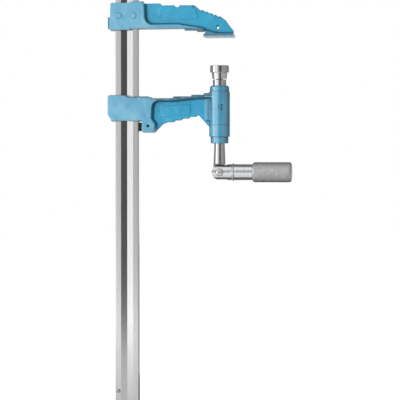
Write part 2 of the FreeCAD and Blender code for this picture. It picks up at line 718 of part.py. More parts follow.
def make_sliding_arm():
    """Casting with a collar that slides on the bar, a flanged arm, a boss and the brake's lug."""
    body = new_body("sliding_arm")
    inside = "-boss_radius / 2"
    slab(body, "frame", [
        ("arm_back", "arm_base + 2 * arm_back_chamfer", "casting_corner"),
        ("arm_back + arm_back_chamfer", "arm_base + arm_back_chamfer / 2"),
        ("arm_back + arm_back_chamfer", "arm_base"),
        ("lug_back", "arm_base"),
        ("lug_back", "lug_base", "lug_corner"),
        ("-lug_front_reach", "lug_base"),
        ("-web_low_reach - web_slope_run", "web_low - scallop_rise"),
    ] + arm_scallops() + [
        ("-0.9 * boss_radius", "boss_top - gusset_foot_drop"),
        (inside, "boss_top - gusset_foot_drop"),
        (inside, "arm_heel"),
        ("-arm_heel_reach", "arm_heel"),
        ("-arm_crest_step_reach", "arm_neck"),
        ("-arm_neck_reach + arm_neck_length", "arm_neck"),
        ("-arm_neck_reach", "arm_top - arm_top_slope_drop"),
        ("-arm_top_slope_reach + arm_top_slope_length", "arm_top - arm_top_slope_drop"),
        ("-arm_top_slope_reach", "arm_top"),
        ("arm_back", "arm_top", "casting_corner"),
    ], "casting_depth", "casting_draft")
    recess_top = "arm_top - arm_recess_drop"
    casting_recesses(body, [
        ("-arm_recess_reach", recess_top, "arm_recess_radius"),
        ("-arm_recess_waist_reach", "arm_top - arm_recess_waist_drop"),
        ("-arm_recess_lobe_reach", "arm_top - arm_recess_lobe_drop"),
        ("-arm_recess_lobe_reach", "lug_base - recess_spill"),
        ("0", "lug_base - recess_spill"),
        ("0", f"{recess_top} + arm_recess_rise"),
        ("-arm_heel_reach", f"{recess_top} + arm_recess_rise"),
        ("-arm_crest_step_reach", recess_top),
    ])
    second_step = "-arm_crest_step_reach + arm_crest_step_length"
    third_step = second_step + " + arm_crest_last_length"
    slab(body, "crest", [
        ("-arm_crest_step_reach", "arm_neck - crest_root"),
        (inside, "arm_neck - crest_root"),
        (inside, "arm_neck + 3 * arm_crest_step"),
        (third_step, "arm_neck + 3 * arm_crest_step"),
        (third_step, "arm_neck + 2 * arm_crest_step"),
        (second_step, "arm_neck + 2 * arm_crest_step"),
        (second_step, "arm_neck + arm_crest_step"),
        ("-arm_crest_step_reach", "arm_neck + arm_crest_step"),
    ], "crest_depth", "crest_draft")
    panel_top = "arm_top - arm_panel_drop"
    slab(body, "panel", [
        ("-arm_panel_reach", f"{panel_top} - arm_panel_height", "panel_corner"),
        ("-arm_panel_reach + arm_panel_length", f"{panel_top} - arm_panel_height + arm_panel_taper",
         "panel_corner / 2"),
        ("-arm_panel_reach + arm_panel_length", f"{panel_top} + arm_panel_taper", "panel_corner / 2"),
        ("-arm_panel_reach", panel_top, "panel_corner"),
    ], "web_thickness + 2 * panel_relief")
    blend = new_sketch(body, "boss_blend", "XY_Plane", "boss_top - boss_blend_drop")
    root, lip = "-boss_radius - boss_blend_reach", "-boss_radius - boss_blend_lip"
    sunk = "(web_thickness / 2 - boss_blend_root)"
    add_outline(blend, [
        (root, f"-{sunk}"),
        (lip, "-boss_blend_depth / 2"),
        ("0", "-boss_blend_depth / 2"),
        ("0", "boss_blend_depth / 2"),
        (lip, "boss_blend_depth / 2"),
        (root, sunk),
    ])
    extrude(body, blend, "boss_blend_height")
    boss = new_sketch(body, "boss", "XY_Plane", "boss_base")
    add_circle(boss, "0", "0", "boss_radius")
    extrude(body, boss, "boss_height")
    line = "boss_top - boss_line_drop"
    turned(body, "boss_line", [
        ("boss_radius - boss_line_depth", line),
        ("boss_radius + boss_line_depth", f"{line} - boss_line_depth"),
        ("boss_radius + boss_line_depth", f"{line} + boss_line_depth"),
    ], cut=True)
    bore = new_sketch(body, "nut_bore", "XY_Plane")
    add_circle(bore, "0", "0", "nut_radius + nut_fit")
    extrude(body, bore, "through", cut=True, both_ways=True)
    cut_bar_slot(body, "arm_slot_fit", "arm_slot_fit")
    cut_radial_hole(body, "lock_screw_radius + nut_fit", "2 * boss_radius")
    cut_brake_housing(body)


def cut_radial_hole(body, radius, length, start="0"):
    """The lock screw's hole, turned from the front towards +X."""
    hole = new_sketch(body, "lock_screw_hole", "XZ_Plane")
    hole.AttachmentOffset = Placement(Vector(), Rotation(Vector(0, 1, 0), value("lock_screw_angle")))
    bind(hole, "AttachmentOffset.Base.z", f"({start}) * cos(lock_screw_angle * 1 deg)")
    bind(hole, "AttachmentOffset.Base.x", f"({start}) * sin(lock_screw_angle * 1 deg)")
    add_circle(hole, "0", "boss_top - lock_screw_drop", radius)
    extrude(body, hole, length, cut=True, reverse=True)


def cut_brake_housing(body):
    """The brake shoe's slot, its spring's pocket and its pin's hole in the lug."""
    slot = new_sketch(body, "shoe_slot", "YZ_Plane", "bar_right")
    half = "(shoe_width / 2 + shoe_fit)"
    low = "shoe_top - shoe_height - shoe_fit"
    add_outline(slot, box_corners(f"-{half}", half, low, "shoe_top + shoe_fit"))
    extrude(body, slot, "brake_slot_right - bar_right", cut=True, reverse=True)
    pocket = new_sketch(body, "spring_pocket", "YZ_Plane", "bar_right")
    add_circle(pocket, "0", "shoe_middle", "brake_spring_radius + brake_spring_wire + brake_spring_fit")
    extrude(body, pocket, "brake_spring_left - bar_right + brake_spring_length", cut=True, reverse=True)
    cross_holes(body, "brake_pin_hole", [
        ("-brake_pin_reach", "brake_pin_height", "brake_pin_radius + brake_pin_fit"),
    ])


def make_spindle_nut():
    """Flanged sleeve in the boss, threaded in the middle of its bore."""
    body = new_body("spindle_nut")
    relief = "screw_radius + screw_crest_fit"
    crest = "screw_core_radius + screw_crest_fit"
    depth = f"({relief} - ({crest}))"
    turned(body, "section", [
        (relief, "nut_base"),
        ("nut_radius - nut_foot_chamfer", "nut_base"),
        ("nut_radius", "nut_base + nut_foot_chamfer"),
        ("nut_radius", "boss_top"),
        ("nut_flange_radius", "boss_top"),
        ("nut_flange_radius", "nut_top - nut_flange_chamfer"),
        ("nut_flange_radius - nut_flange_chamfer", "nut_top"),
        (relief, "nut_top"),
        (relief, "nut_bore_top"),
        (crest, f"nut_bore_top - {depth}"),
        (crest, f"nut_bore_base + {depth}"),
        (relief, "nut_bore_base"),
    ])
    ridge = "(screw_pitch / 2 + 2 * screw_flank_fit)"
    thread_profile(body, "thread", "nut_bore_base - screw_pitch / 2", relief, crest,
                   f"{ridge} - 2 * {flank_run(relief)}", f"{ridge} + 2 * {flank_run(crest, inward=True)}",
                   "nut_bore_top - nut_bore_base + screw_pitch")
    cut_radial_hole(body, "lock_screw_radius + nut_fit", "2 * boss_radius",
                    start="boss_radius - lock_screw_recess - lock_screw_length")


def flank_run(radius, inward=False):
    """How far a flank leans along the axis between the pitch radius and another radius."""
    middle = "(screw_radius + screw_core_radius) / 2"
    gap = f"({middle} - ({radius}))" if inward else f"(({radius}) - {middle})"
    return f"{gap} * tan(screw_flank_angle * 1 deg)"


def thread_profile(body, name, level, deep, shallow, deep_width, shallow_width, height):
    """Cuts a trapezoid groove between two radii, wound up from one level."""
    sketch = new_sketch(body, name, "XZ_Plane")
    add_outline(sketch, [
        (deep, f"{level} - ({deep_width}) / 2"),
        (shallow, f"{level} - ({shallow_width}) / 2"),
        (shallow, f"{level} + ({shallow_width}) / 2"),
        (deep, f"{level} + ({deep_width}) / 2"),
    ])
    coil(body, sketch, "screw_pitch", height, cut=True)


def make_nut_lock_screw():
    """Slotted plug that locks the nut in the boss."""
    body = doc.addObject("PartDesign::Body", "nut_lock_screw")
    body.Label = "nut_lock_screw"
    turned(body, "section", [
        ("0", "boss_radius - lock_screw_recess - lock_screw_length"),
        ("lock_screw_radius", "boss_radius - lock_screw_recess - lock_screw_length"),
        ("lock_screw_radius", "boss_radius - lock_screw_recess"),
        ("0", "boss_radius - lock_screw_recess"),
    ])
    slot = new_sketch(body, "slot", "XY_Plane", "boss_radius - lock_screw_recess")
    add_outline(slot, box_corners("-lock_screw_slot_width / 2", "lock_screw_slot_width / 2",
                                  "-2 * lock_screw_radius", "2 * lock_screw_radius"))
    extrude(body, slot, "lock_screw_slot_depth", cut=True)
    forward = Rotation(Vector(0, 0, 1), value("lock_screw_angle")) * Rotation(Vector(1, 0, 0), 90)
    body.Placement = Placement(Vector(0, 0, value("boss_top - lock_screw_drop")), forward)
    bind(body, "Placement.Base.z", "boss_top - lock_screw_drop")


def make_brake_shoe():
    """Toothed steel block that presses on the bar's edge, with a long hole for its pin."""
    body = new_body("brake_shoe")
    tooth = "(shoe_height / shoe_tooth_count)"
    low = "shoe_top - shoe_height"
    edge = []
    for index in range(int(value("shoe_tooth_count"))):
        edge.append(("shoe_left", f"shoe_top - ({index} + 0.25) * {tooth}"))
        edge.append(("shoe_left + shoe_tooth_depth", f"shoe_top - ({index} + 0.75) * {tooth}"))
    slab(body, "block", [("shoe_right", low), ("shoe_right", "shoe_top"), ("shoe_left", "shoe_top")]
         + edge + [("shoe_left", low)], "shoe_width")
    hole = new_sketch(body, "pin_slot", "XZ_Plane")
    half_height = "(brake_pin_radius + shoe_fit)"
    half_length = "(brake_pin_radius + shoe_fit + shoe_travel)"
    add_outline(hole, round_box(
        f"-brake_pin_reach - {half_length}", f"-brake_pin_reach + {half_length}",
        f"brake_pin_height - {half_height}", f"brake_pin_height + {half_height}",
        "brake_pin_radius"))
    extrude(body, hole, "through", cut=True, both_ways=True)


def make_brake_pin():
    """Cross pin that keeps the brake shoe in the lug."""
    body = new_body("brake_pin", x="-brake_pin_reach", z="brake_pin_height", turn=ABOUT_X)
    section = new_sketch(body, "section", "XY_Plane")
    add_circle(section, "0", "0", "brake_pin_radius")
    extrude(body, section, "casting_depth - 2 * brake_pin_recess", both_ways=True)


def make_spring(label, radius, wire, length, turns, x, z):
    """Round-wire compression spring along X, starting at x."""
    body = new_body(label, x=f"{x} + {wire}", z=z, turn=ABOUT_Y)
    section = new_sketch(body, "wire", "XZ_Plane")
    add_circle(section, radius, "0", wire)
    run = f"({length} - 2 * {wire})"
    coil(body, section, f"{run} / {turns}", run)


def make_spindle():
    """Screw with a ball tip, a plain shank, a trapezoid thread and a flat tang."""
    body = new_body("spindle")
    chamfer = "(screw_radius - screw_core_radius)"
    turned(body, "section", [
        ("0", "ball_middle + ball_radius"),
        ("0", "knuckle_base"),
        ("screw_knuckle_radius", "knuckle_base"),
        ("screw_core_radius", "cone_top"),
        ("screw_core_radius", f"thread_base - {chamfer}"),
        ("screw_radius", "thread_base"),
        ("screw_radius", "screw_top - ball_fit"),
        ("screw_radius - ball_fit", "screw_top"),
        ("ball_neck_radius", "screw_top"),
        ("ball_neck_radius", "ball_middle - sqrt(ball_radius ^ 2 - ball_neck_radius ^ 2)"),
        ("ball_radius", "ball_middle - ball_radius / 5"),
        ("ball_radius", "ball_middle + ball_radius", "ball_crown_radius"),
    ][::-1])
    slab(body, "tang", [
        ("pivot_offset - tang_radius", "pivot_height - tang_radius", "tang_radius - washer_fit"),
        ("pivot_offset + tang_radius", "pivot_height - tang_radius", "tang_radius - washer_fit"),
        ("pivot_offset + tang_radius", "pivot_height"),
        ("screw_knuckle_radius", "knuckle_base + washer_fit"),
        ("-screw_knuckle_radius", "knuckle_base + washer_fit"),
        ("pivot_offset - tang_radius", "pivot_height"),
    ], "tang_thickness")
    cross_holes(body, "pivot_hole", [("pivot_offset", "pivot_height", "pivot_radius + pivot_fit")])
    cross_holes(body, "detent_notches", [
        ("pivot_offset + ball_reach", "pivot_height", "detent_notch_radius"),
        ("pivot_offset", "pivot_height - ball_reach", "detent_notch_radius"),
        ("pivot_offset - ball_reach", "pivot_height", "detent_notch_radius"),
    ])
    gap = "screw_pitch / 2"
    outside = "screw_radius + screw_crest_fit"
    thread_profile(body, "thread", "nut_bore_base - 4 * screw_pitch", "screw_core_radius", outside,
                   f"{gap} - 2 * {flank_run('screw_core_radius', inward=True)}",
                   f"{gap} + 2 * {flank_run(outside)}", "thread_top - (nut_bore_base - 4 * screw_pitch)")


def make_pressure_pad():
    """Round pad with a tapered hub that tilts on the spindle's ball."""
    body = new_body("pressure_pad")
    socket = "ball_radius + ball_fit"
    groove = "ring_radius + ring_wire + ring_fit"
    ring_level = "ball_middle - ring_drop"
    half = "(ring_wire + ring_fit)"
    turned(body, "section", [
        ("0", "ball_middle + ball_radius + ball_fit"),
        (socket, "ball_middle + ball_radius + ball_fit", "ball_crown_radius"),
        (socket, f"{ring_level} + {half}"),
        (groove, f"{ring_level} + {half}"),
        (groove, f"{ring_level} - {half}"),
        (socket, f"{ring_level} - {half}"),
        (socket, "hub_base"),
        ("pad_hub_end_radius", "hub_base"),
        ("pad_hub_radius", "pad_back"),
        ("pad_radius", "pad_back", "pad_edge"),
        ("pad_radius", "pad_face", "pad_edge"),
        ("0", "pad_face"),
    ])


def make_pad_snap_ring():
    """Open wire ring below the ball that keeps the pad on it."""
    body = new_body("pad_snap_ring")
    section = new_sketch(body, "wire", "XZ_Plane")
    add_circle(section, "ring_radius", "ball_middle - ring_drop", "ring_wire")
    revolve(body, section, angle="ring_arc")


def trim_round(body, name, radius):
    """Removes what lies outside a cylinder along the handle's axis."""
    sketch = new_sketch(body, name, "YZ_Plane")
    reach = f"(2 * {radius})"
    add_outline(sketch, box_corners(f"-{reach}", reach, f"-{reach}", reach))
    add_circle(sketch, "0", "0", radius)
    extrude(body, sketch, "through", cut=True, both_ways=True)


def make_handle_fork():
    """Round-ended fork over the spindle's tang, bored for the pivot and the detent."""
    body = new_body("handle_fork", x="pivot_offset", z="pivot_height")
    slab(body, "body", [
        ("-handle_radius", "-handle_radius", "handle_radius - handle_fit"),
        ("fork_length", "-handle_radius"),
        ("fork_length", "handle_radius"),
        ("-handle_radius", "handle_radius", "handle_radius - handle_fit"),
    ], "2 * handle_radius")
    trim_round(body, "round", "handle_radius")
    slot = new_sketch(body, "slot", "XZ_Plane")
    add_outline(slot, box_corners("-2 * handle_radius", "fork_slot_depth",
                                  "-2 * handle_radius", "2 * handle_radius"))
    extrude(body, slot, "2 * slot_half", cut=True, both_ways=True)
    cross_holes(body, "pivot_hole", [("0", "0", "pivot_radius")])
    for name, offset, reverse in (("front_seat", "seat_half", True), ("back_seat", "-seat_half", False)):
        seat = new_sketch(body, name, "XZ_Plane", offset)
        add_circle(seat, "0", "0", "pivot_head_radius + handle_fit")
        extrude(body, seat, "handle_radius", cut=True, reverse=reverse)
    bore = new_sketch(body, "detent_bore", "YZ_Plane")
    add_circle(bore, "0", "0", "detent_ball_radius + detent_bore_fit")
    extrude(body, bore, "fork_length + handle_fit", cut=True, reverse=True)
    spigot = new_sketch(body, "spigot_bore", "YZ_Plane", "handle_shoulder - handle_spigot_length")
    add_circle(spigot, "0", "0", "handle_spigot_radius + handle_fit")
    extrude(body, spigot, "handle_spigot_length", cut=True, reverse=True)


def make_handle_ring():
    """Raised ring between the fork and the handle's shaft."""
    body = new_body("handle_ring", x="pivot_offset + fork_length", z="pivot_height", turn=ABOUT_Y)
    turned(body, "section", [
        ("handle_spigot_radius + handle_fit", "0"),
        ("handle_radius", "0"),
        ("handle_ring_radius", "handle_ring_width / 3"),
        ("handle_ring_radius", "handle_ring_width * 2 / 3"),
        ("handle_radius", "handle_ring_width"),
        ("handle_spigot_radius + handle_fit", "handle_ring_width"),
    ])


def make_handle_shaft():
    """Shaft with a spigot into the fork, a blind bore for the detent spring and the grip's core."""
    body = new_body("handle_shaft", x="pivot_offset", z="pivot_height", turn=ABOUT_Y)
    turned(body, "section", [
        ("0", "handle_shoulder - handle_spigot_length"),
        ("handle_spigot_radius", "handle_shoulder - handle_spigot_length"),
        ("handle_spigot_radius", "handle_shoulder"),
        ("handle_radius", "handle_shoulder"),
        ("handle_radius", "grip_reach"),
        ("grip_core_radius", "grip_reach"),
        ("grip_core_radius", "grip_reach + grip_length - grip_end_wall"),
        ("0", "grip_reach + grip_length - grip_end_wall"),
    ])
    bore = new_sketch(body, "spring_bore", "XY_Plane")
    add_circle(bore, "0", "0", "detent_ball_radius + detent_bore_fit")
    extrude(body, bore, "detent_spring_left + detent_spring_length", cut=True, reverse=True)


def make_handle_grip():
    """Closed sleeve pressed on the end of the shaft."""
    body = new_body("handle_grip", x="pivot_offset + grip_reach", z="pivot_height", turn=ABOUT_Y)
    core = "grip_core_radius + handle_fit"
    turned(body, "section", [
        (core, "0"),
        ("grip_radius", "0", "grip_edge"),
        ("grip_radius", "grip_length", "grip_edge"),
        ("0", "grip_length"),
        ("0", "grip_length - grip_end_wall"),
        (core, "grip_length - grip_end_wall"),
    ])


def make_pivot_pin():
    """Riveted pin with a domed head in each cheek of the fork."""
    body = new_body("handle_pivot_pin", x="pivot_offset", z="pivot_height", turn=ABOUT_X)
    crown = "(seat_half + pivot_head_height)"
    turned(body, "section", [
        ("0", f"-{crown}"),
        ("pivot_head_radius", f"-{crown}", "pivot_head_height * 0.9"),
        ("pivot_head_radius", "-seat_half"),
        ("pivot_radius", "-seat_half"),
        ("pivot_radius", "seat_half"),
        ("pivot_head_radius", "seat_half"),
        ("pivot_head_radius", crown, "pivot_head_height * 0.9"),
        ("0", crown),
    ])


def make_washer(label, side):
    """Thin friction washer between the tang and one cheek of the fork."""
    middle = "(slot_half - washer_thickness / 2)"
    body = new_body(label, x="pivot_offset", y=f"{side} * {middle}", z="pivot_height", turn=ABOUT_X)
    section = new_sketch(body, "section", "XY_Plane")
    add_circle(section, "0", "0", "washer_radius")
    add_circle(section, "0", "0", "pivot_radius + pivot_fit")
    extrude(body, section, "washer_thickness", both_ways=True)


def make_detent_ball():
    """Ball that rides on the tang's rim and holds the handle at its three positions."""
    body = new_body("detent_ball", x="pivot_offset + ball_reach", z="pivot_height")
    section = new_sketch(body, "section", "XZ_Plane")
    radius = value("detent_ball_radius")
    circle = Part.Circle(Vector(), Vector(0, 0, 1), radius)
    arc = section.addGeometry(Part.ArcOfCircle(circle, -math.pi / 2, math.pi / 2), False)
    line = section.addGeometry(Part.LineSegment(Vector(0, radius, 0), Vector(0, -radius, 0)), False)
    section.addConstraint(Sketcher.Constraint("Coincident", arc, 2, line, 1))
    section.addConstraint(Sketcher.Constraint("Coincident", arc, 1, line, 2))
    section.addConstraint(Sketcher.Constraint("Coincident", arc, 3, -1, 1))
    section.addConstraint(Sketcher.Constraint("Vertical", line))
    index = section.addConstraint(Sketcher.Constraint("Radius", arc, radius))
    bind(section, f"Constraints[{index}]", "detent_ball_radius")
    section.addConstraint(Sketcher.Constraint("PointOnObject", line, 1, -2))
    revolve(body, section)


def make_all():
    make_bar()
    make_fixed_jaw()
    make_rivet("jaw_rivet_left", -1)
    make_rivet("jaw_rivet_right", 1)
    make_end_stop_pin()
    make_sliding_arm()
    make_spindle_nut()
    make_nut_lock_screw()
    make_brake_shoe()
    make_brake_pin()
    make_spring("brake_spring", "brake_spring_radius", "brake_spring_wire", "brake_spring_length",
                "brake_spring_turns", "brake_spring_left", "shoe_middle")
    make_spindle()
    make_pressure_pad()
    make_pad_snap_ring()
    make_handle_fork()
    make_handle_ring()
    make_handle_shaft()
    make_handle_grip()
    make_pivot_pin()
    make_washer("pivot_washer_front", -1)
    make_washer("pivot_washer_back", 1)
    make_detent_ball()
    make_spring("detent_spring", "detent_coil_radius", "detent_spring_wire", "detent_spring_length",
                "detent_spring_turns", "pivot_offset + detent_spring_left", "pivot_height")


def check_and_export():
    """Stops on any failed object, and writes each sub-part's solid to its own file."""
    doc.recompute()
    for thing in doc.Objects:
        if "Invalid" in thing.State or "Error" in thing.State:
            raise RuntimeError(f"{thing.Name} failed: {thing.State}")
    os.makedirs("parts", exist_ok=True)
    for body in doc.findObjects("PartDesign::Body"):
        shape = body.Shape
        if shape.isNull() or not shape.isValid() or not shape.Solids:
            raise RuntimeError(f"{body.Label} has no valid solid")
        shape.exportStep(f"parts/{body.Label}.step")
        print(f"{body.Label}: {len(shape.Solids)} solid, {shape.Volume:.1f} mm3")


make_all()
check_and_export()
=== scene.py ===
import math
import bmesh
import bpy
from mathutils import Matrix, Vector


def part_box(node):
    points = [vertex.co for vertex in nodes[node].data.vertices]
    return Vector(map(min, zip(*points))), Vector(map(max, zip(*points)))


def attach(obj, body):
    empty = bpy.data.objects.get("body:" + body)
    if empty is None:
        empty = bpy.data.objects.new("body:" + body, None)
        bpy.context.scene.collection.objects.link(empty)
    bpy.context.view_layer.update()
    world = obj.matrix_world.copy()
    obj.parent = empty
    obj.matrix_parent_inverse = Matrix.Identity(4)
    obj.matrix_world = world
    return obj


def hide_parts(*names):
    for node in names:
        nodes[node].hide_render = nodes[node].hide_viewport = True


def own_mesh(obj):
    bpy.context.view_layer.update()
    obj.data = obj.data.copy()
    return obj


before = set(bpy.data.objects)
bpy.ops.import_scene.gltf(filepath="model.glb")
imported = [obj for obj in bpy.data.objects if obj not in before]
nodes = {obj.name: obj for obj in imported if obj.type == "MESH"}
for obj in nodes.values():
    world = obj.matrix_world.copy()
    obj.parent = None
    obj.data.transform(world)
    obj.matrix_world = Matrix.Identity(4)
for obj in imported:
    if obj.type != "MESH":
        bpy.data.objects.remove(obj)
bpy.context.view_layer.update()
MM = 0.001


# Shader nodes

def maths(tree, operation, *terms):
    """What a maths node makes of sockets and numbers."""
    node = tree.nodes.new("ShaderNodeMath")
    node.operation = operation
    for socket, term in zip(node.inputs, terms):
        if isinstance(term, (int, float)):
            socket.default_value = term
        else:
            tree.links.new(term, socket)
    return node.outputs[0]


def times(tree, first, second):
    return maths(tree, "MULTIPLY", first, second)


def remap(tree, source, low, high, first, last):
    """The source's run from low to high, stretched to run from first to last and held there beyond."""
    span = tree.nodes.new("ShaderNodeMapRange")
    for key, number in (("From Min", low), ("From Max", high), ("To Min", first), ("To Max", last)):
        span.inputs[key].default_value = number
    tree.links.new(source, span.inputs["Value"])
    return span.outputs["Result"]


def curve_through(tree, source, stops):
    """A value that runs in straight lines through (place, level) stops."""
    places, levels = zip(*stops)
    start, end, low, high = places[0], places[-1], min(levels), max(levels)
    curve = tree.nodes.new("ShaderNodeFloatCurve")
    points = curve.mapping.curves[0].points
    while len(points) < len(stops):
        points.new(0, 0)
    for point, (place, level) in zip(points, stops):
        point.location = ((place - start) / (end - start), (level - low) / (high - low))
        point.handle_type = "VECTOR"
    curve.mapping.update()
    tree.links.new(remap(tree, source, start, end, 0, 1), curve.inputs["Value"])
    return remap(tree, curve.outputs[0], 0, 1, low, high)


def noise(tree, scale, detail=3, stretch=(1, 1, 1), rough=0.5):
    """Noise in the piece's own space, in waves per metre, stretched along an axis."""
    place = tree.nodes.new("ShaderNodeTexCoord")
    mapping = tree.nodes.new("ShaderNodeMapping")
    mapping.inputs["Scale"].default_value = stretch
    texture = tree.nodes.new("ShaderNodeTexNoise")
    texture.inputs["Scale"].default_value = scale
    texture.inputs["Detail"].default_value = detail
    texture.inputs["Roughness"].default_value = rough
    tree.links.new(place.outputs["Object"], mapping.inputs[0])
    tree.links.new(mapping.outputs[0], texture.inputs["Vector"])
    return texture.outputs["Fac"]


def blend_colour(tree, factor, first, last):
    """The first colour where the factor is 0, the last where it is 1: each a socket or three numbers."""
    mix = tree.nodes.new("ShaderNodeMix")
    mix.data_type = "RGBA"
    for socket, colour in ((mix.inputs[6], first), (mix.inputs[7], last)):
        if isinstance(colour, tuple):
            socket.default_value = (*colour, 1)
        else:
            tree.links.new(colour, socket)
    tree.links.new(factor, mix.inputs[0])
    return mix.outputs[2]


def bump(tree, height, depth, normal=None):
    node = tree.nodes.new("ShaderNodeBump")
    node.inputs["Strength"].default_value = 1
    node.inputs["Distance"].default_value = depth
    tree.links.new(height, node.inputs["Height"])
    if normal is not None:
        tree.links.new(normal, node.inputs["Normal"])
    return node.outputs["Normal"]


def soft_edges(tree, radius):
    """Normals that turn smoothly over the edges."""
    node = tree.nodes.new("ShaderNodeBevel")
    node.samples = 4
    node.inputs["Radius"].default_value = radius
    return node.outputs["Normal"]


def painted_corner_shade(tree, reach, low, high):
    """A mask for painted shade: 1 in the open, falling to 0 deep in a corner, where the colour is darkened.
    """
    node = tree.nodes.new("ShaderNodeAmbientOcclusion")
    node.samples = 8
    node.inputs["Distance"].default_value = reach
    return remap(tree, node.outputs["AO"], low, high, 0, 1)


def object_axis(tree, axis, absolute=False):
    """A coordinate in the piece's own space."""
    place = tree.nodes.new("ShaderNodeTexCoord")
    split = tree.nodes.new("ShaderNodeSeparateXYZ")
    tree.links.new(place.outputs["Object"], split.inputs[0])
    return maths(tree, "ABSOLUTE", split.outputs[axis]) if absolute else split.outputs[axis]


def between(tree, source, first, last, edge):
    """1 between two values, 0 outside them, with soft ends."""
    return times(tree, remap(tree, source, first - edge, first, 0, 1),
                 remap(tree, source, last, last + edge, 1, 0))


# Camera

def around(middle, azimuth, distance):
    """The place at an azimuth and distance from the middle: 0 degrees is in front, 90 to the right."""
    turn = math.radians(azimuth)
    return middle + distance * Vector((math.sin(turn), -math.cos(turn), 0))


def facing(place, aim):
    """The turn of a camera or lamp at a place that looks at the aim."""
    return (aim - place).to_track_quat("-Z", "Y").to_euler()


def add_camera():
    """A long lens from the photograph's side: a little from the right, a little from above the middle."""
    aim = Vector((-0.0291, 0, -0.205))
    distance, eye_level = 2.5, -0.170
    picture_width, picture_middle = 0.590, -0.239
    place = around(aim, 8, distance)
    place.z = eye_level
    data = bpy.data.cameras.new("camera")
    data.sensor_fit = "HORIZONTAL"
    data.sensor_width = 36
    data.lens = data.sensor_width * distance / picture_width
    data.shift_y = (picture_middle - aim.z) / picture_width
    camera = bpy.data.objects.new("camera", data)
    camera.location = place
    camera.rotation_euler = facing(place, aim)
    bpy.context.scene.collection.objects.link(camera)
    bpy.context.scene.camera = camera


# Light, floor and backdrop

LAMP_AIM = Vector((-0.03, 0, -0.16))


def area_light(name, azimuth, distance, height, width, tall, power, glossy=True):
    """A soft box that faces the clamp."""
    data = bpy.data.lights.new(name, "AREA")
    data.shape = "RECTANGLE"
    data.size = width
    data.size_y = tall
    data.energy = power
    light = bpy.data.objects.new(name, data)
    light.location = around(Vector((0, 0, height)), azimuth, distance)
    light.rotation_euler = facing(light.location, LAMP_AIM)
    light.visible_glossy = glossy
    bpy.context.scene.collection.objects.link(light)


def plane(name, corners):
    """A sheet with four corners."""
    mesh = bpy.data.meshes.new(name)
    mesh.from_pydata(corners, [], [(0, 1, 2, 3)])
    thing = bpy.data.objects.new(name, mesh)
    bpy.context.scene.collection.objects.link(thing)
    return thing


def stage_material(name, grey, glow=0, shine=0):
    """Matt grey; the floor also glows to the camera, which makes it white, and less so to steel."""
    material = bpy.data.materials.new(name)
    material.use_nodes = True
    tree = material.node_tree
    tree.nodes.clear()
    out = tree.nodes.new("ShaderNodeOutputMaterial")
    matt = tree.nodes.new("ShaderNodeBsdfDiffuse")
    matt.inputs["Color"].default_value = (grey, grey, grey, 1)
    if not glow:
        tree.links.new(matt.outputs[0], out.inputs["Surface"])
        return material
    path = tree.nodes.new("ShaderNodeLightPath")
    light = tree.nodes.new("ShaderNodeEmission")
    both = tree.nodes.new("ShaderNodeAddShader")
    seen = maths(tree, "MAXIMUM", times(tree, path.outputs["Is Camera Ray"], glow),
                 times(tree, path.outputs["Is Glossy Ray"], shine))
    tree.links.new(seen, light.inputs["Strength"])
    tree.links.new(matt.outputs[0], both.inputs[0])
    tree.links.new(light.outputs[0], both.inputs[1])
    tree.links.new(both.outputs[0], out.inputs["Surface"])
    return material


# Brightness of the room from its front (-1) to its back (1), near eye level and steeply up or down
FRONT_TO_BACK = ((-1, 0.6), (-0.3, 0.6), (0.1, 0.55), (0.5, 0.4), (0.93, 0.35), (0.985, 1.7), (1, 1.7))
FRONT_TO_BACK_STEEP = ((-1, 1.3), (-0.35, 1.2), (-0.1, 0.3), (1, 0.14))
# Share of the steep brightness by direction, from straight down (-1) to straight up (1)
STEEPNESS = ((-1, 1), (-0.65, 1), (-0.4, 0), (0.4, 0), (0.65, 1), (1, 1))


def add_world():
    """White behind the clamp; the room that lights it is bright in front and dim behind, above and below."""
    world = bpy.data.worlds.new("world")
    bpy.context.scene.world = world
    world.use_nodes = True
    tree = world.node_tree
    tree.nodes.clear()
    out = tree.nodes.new("ShaderNodeOutputWorld")
    seen = tree.nodes.new("ShaderNodeBackground")
    light = tree.nodes.new("ShaderNodeBackground")
    seen.inputs["Color"].default_value = (1, 1, 1, 1)
    path = tree.nodes.new("ShaderNodeLightPath")
    mix = tree.nodes.new("ShaderNodeMixShader")
    place = tree.nodes.new("ShaderNodeTexCoord")
    split = tree.nodes.new("ShaderNodeSeparateXYZ")
    tree.links.new(place.outputs["Generated"], split.inputs[0])
    blend = tree.nodes.new("ShaderNodeMix")
    tree.links.new(curve_through(tree, split.outputs["Z"], STEEPNESS), blend.inputs[0])
    tree.links.new(curve_through(tree, split.outputs["Y"], FRONT_TO_BACK), blend.inputs[2])
    tree.links.new(curve_through(tree, split.outputs["Y"], FRONT_TO_BACK_STEEP), blend.inputs[3])
    tree.links.new(blend.outputs[0], light.inputs["Strength"])
    tree.links.new(path.outputs["Is Camera Ray"], mix.inputs[0])
    tree.links.new(light.outputs[0], mix.inputs[1])
    tree.links.new(seen.outputs[0], mix.inputs[2])
    tree.links.new(mix.outputs[0], out.inputs["Surface"])


def dark_card(name, corners, grey):
    """A card that only steel and gloss see, as a dark band."""
    card = plane(name, corners)
    card.data.materials.append(stage_material(name, grey))
    card.visible_camera = False
    card.visible_diffuse = False
    card.visible_shadow = False


def upright(first, last, distance, foot, top):
    """Corners of a sheet that stands between two azimuths."""
    low = [around(Vector((0, 0, foot)), azimuth, distance) for azimuth in (first, last)]
    high = [around(Vector((0, 0, top)), azimuth, distance) for azimuth in (last, first)]
    return low + high


def flat(half_width, near, far, level):
    """Corners of a level sheet."""
    return [(-half_width, near, level), (half_width, near, level),
            (half_width, far, level), (-half_width, far, level)]


